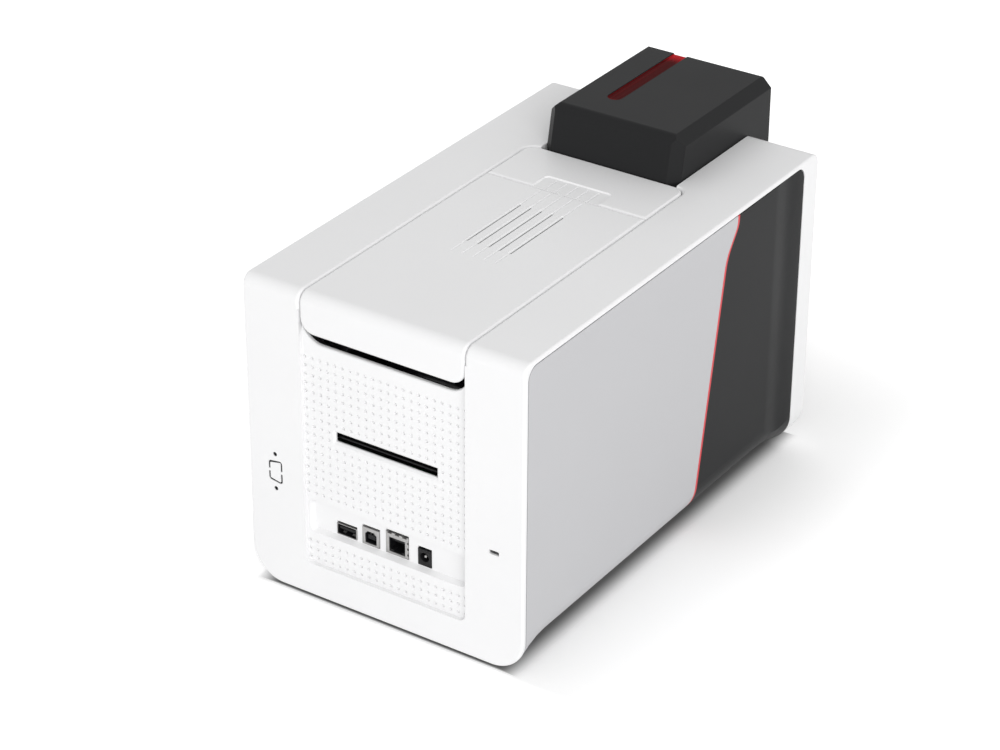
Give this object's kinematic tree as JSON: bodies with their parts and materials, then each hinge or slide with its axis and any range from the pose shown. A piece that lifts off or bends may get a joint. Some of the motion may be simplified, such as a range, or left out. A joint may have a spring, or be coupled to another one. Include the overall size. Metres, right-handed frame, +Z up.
{
  "type": "card printer",
  "caption": "Desktop printer for plastic identity cards with a hinged lid, a tilting card feeder, an output bin and rear sockets.",
  "frame": {"origin": "on the surface it stands on, under the middle of its outline", "axes": "+X to the right of someone facing the front, the front faces -Y, +Z up"},
  "size_m": [0.205, 0.381, 0.247],
  "materials": {
    "white_plastic": "fine matt moulded plastic, cool white",
    "light_grey_plastic": "fine matt moulded plastic, light grey",
    "dark_grey_plastic": "matt moulded plastic, charcoal grey",
    "black_plastic": "black moulded plastic",
    "red_stripe": "satin red strip",
    "red_window": "smoked red window",
    "display_black": "black glossy display cover",
    "steel": "ground steel",
    "zinc_plate": "zinc plated sheet steel",
    "socket_metal": "nickel plated socket shell",
    "aluminium": "plain extruded aluminium",
    "roller_rubber": "smooth black rubber",
    "foot_rubber": "soft black rubber",
    "ribbon_film": "wound dark film",
    "circuit_board": "green circuit board"
  },
  "bodies": {
    "housing": {"top_frame": "white_plastic", "rear_bezel": "white_plastic", "front_bezel": "white_plastic", "base_tray": "light_grey_plastic", "right_side_panel": "light_grey_plastic", "left_side_panel": "light_grey_plastic", "right_front_panel": "dark_grey_plastic", "left_front_panel": "dark_grey_plastic", "right_stripe": "red_stripe", "left_stripe": "red_stripe", "rear_panel": "white_plastic", "connector_bay": "white_plastic", "lock_anchor": "steel", "lid_hinge_rod": "steel", "flap_hinge_pins": "steel", "flap_spring": "steel", "hood_hinge_pins": "steel", "feeder_tray": "black_plastic", "front_panel": "dark_grey_plastic", "display_glass": "display_black", "front_board": "circuit_board", "right_chassis_plate": "zinc_plate", "left_chassis_plate": "zinc_plate", "tie_bars": "steel", "chassis_screws": "steel", "base_screws": "steel", "card_guide": "black_plastic", "drive_motor": "zinc_plate", "drive_belt": "roller_rubber", "ribbon_motor": "zinc_plate", "fan_frame": "black_plastic", "main_board": "circuit_board", "usb_host_shell": "socket_metal", "usb_device_shell": "socket_metal", "network_shell": "socket_metal", "power_socket": "black_plastic", "socket_cores": "black_plastic", "feet": "foot_rubber"},
    "lid": {"lid": "white_plastic", "lid_liner": "dark_grey_plastic", "print_head": "black_plastic", "heat_sink": "aluminium"},
    "flap": {"release_flap": "white_plastic"},
    "hood": {"feeder_hood": "dark_grey_plastic", "gauge_window": "red_window"},
    "weight": {"card_weight": "black_plastic"},
    "bin": {"output_bin": "dark_grey_plastic"},
    "button": {"power_button": "light_grey_plastic"},
    "feed": {"feed_roller": "roller_rubber", "feed_shaft": "steel"},
    "platen": {"platen_roller": "roller_rubber", "platen_shaft": "steel"},
    "exit": {"exit_roller": "roller_rubber", "exit_shaft": "steel"},
    "motor": {"motor_pulley": "steel"},
    "takeup": {"takeup_spool": "black_plastic"},
    "pinion": {"ribbon_pinion": "black_plastic"},
    "supply": {"supply_spool": "black_plastic", "supply_film": "ribbon_film"},
    "fan": {"fan_rotor": "black_plastic"}
  },
  "joints": [
    {"name": "lid_hinge", "type": "hinge", "parent": "housing", "child": "lid", "pos_m": [0, 0.1825, 0.2085], "axis": [-1, 0, 0], "range_deg": [0, 85]},
    {"name": "flap_press", "type": "hinge", "parent": "housing", "child": "flap", "pos_m": [0, -0.05425, 0.21], "axis": [-1, 0, 0], "range_deg": [0, 3.5], "stiffness_Nm_per_rad": 2.5, "springref_deg": -1.72, "deforming": ["flap_spring"]},
    {"name": "hood_tilt", "type": "hinge", "parent": "housing", "child": "hood", "pos_m": [0, -0.1672, 0.121], "axis": [1, 0, 0], "range_deg": [0, 75]},
    {"name": "weight_slide", "type": "slide", "parent": "housing", "child": "weight", "axis": [0, 0, 1], "range_m": [0, 0.07]},
    {"name": "bin_slide", "type": "slide", "parent": "housing", "child": "bin", "axis": [0, -1, 0], "range_m": [0, 0.06]},
    {"name": "button_press", "type": "slide", "parent": "housing", "child": "button", "axis": [0, 1, 0], "range_m": [0, 0.0015], "stiffness_N_per_m": 800, "springref_m": -0.0008},
    {"name": "platen_spin", "type": "hinge", "parent": "housing", "child": "platen", "pos_m": [0, 0.07005, 0.1148], "axis": [1, 0, 0], "continuous": true},
    {"name": "feed_spin", "type": "hinge", "parent": "housing", "child": "feed", "pos_m": [0, -0.12, 0.1148], "axis": [1, 0, 0], "continuous": true},
    {"name": "exit_spin", "type": "hinge", "parent": "housing", "child": "exit", "pos_m": [0, 0.15005, 0.1148], "axis": [1, 0, 0], "continuous": true},
    {"name": "motor_spin", "type": "hinge", "parent": "housing", "child": "motor", "pos_m": [0, 0.11005, 0.076], "axis": [1, 0, 0], "continuous": true},
    {"name": "takeup_spin", "type": "hinge", "parent": "housing", "child": "takeup", "pos_m": [0, 0.01401, 0.152], "axis": [1, 0, 0], "continuous": true},
    {"name": "pinion_spin", "type": "hinge", "parent": "housing", "child": "pinion", "pos_m": [0, 0.01401, 0.12375], "axis": [1, 0, 0], "continuous": true},
    {"name": "supply_spin", "type": "hinge", "parent": "housing", "child": "supply", "pos_m": [0, 0.11997, 0.152], "axis": [1, 0, 0], "continuous": true},
    {"name": "fan_spin", "type": "hinge", "parent": "housing", "child": "fan", "pos_m": [0, 0.07005, 0.164], "axis": [1, 0, 0], "continuous": true}
  ],
  "couplings": [
    {"joint": "feed_spin", "follows": "platen_spin", "ratio": 1},
    {"joint": "exit_spin", "follows": "platen_spin", "ratio": 1},
    {"joint": "motor_spin", "follows": "platen_spin", "ratio": 1.6},
    {"joint": "pinion_spin", "follows": "takeup_spin", "ratio": -2.5}
  ]
}
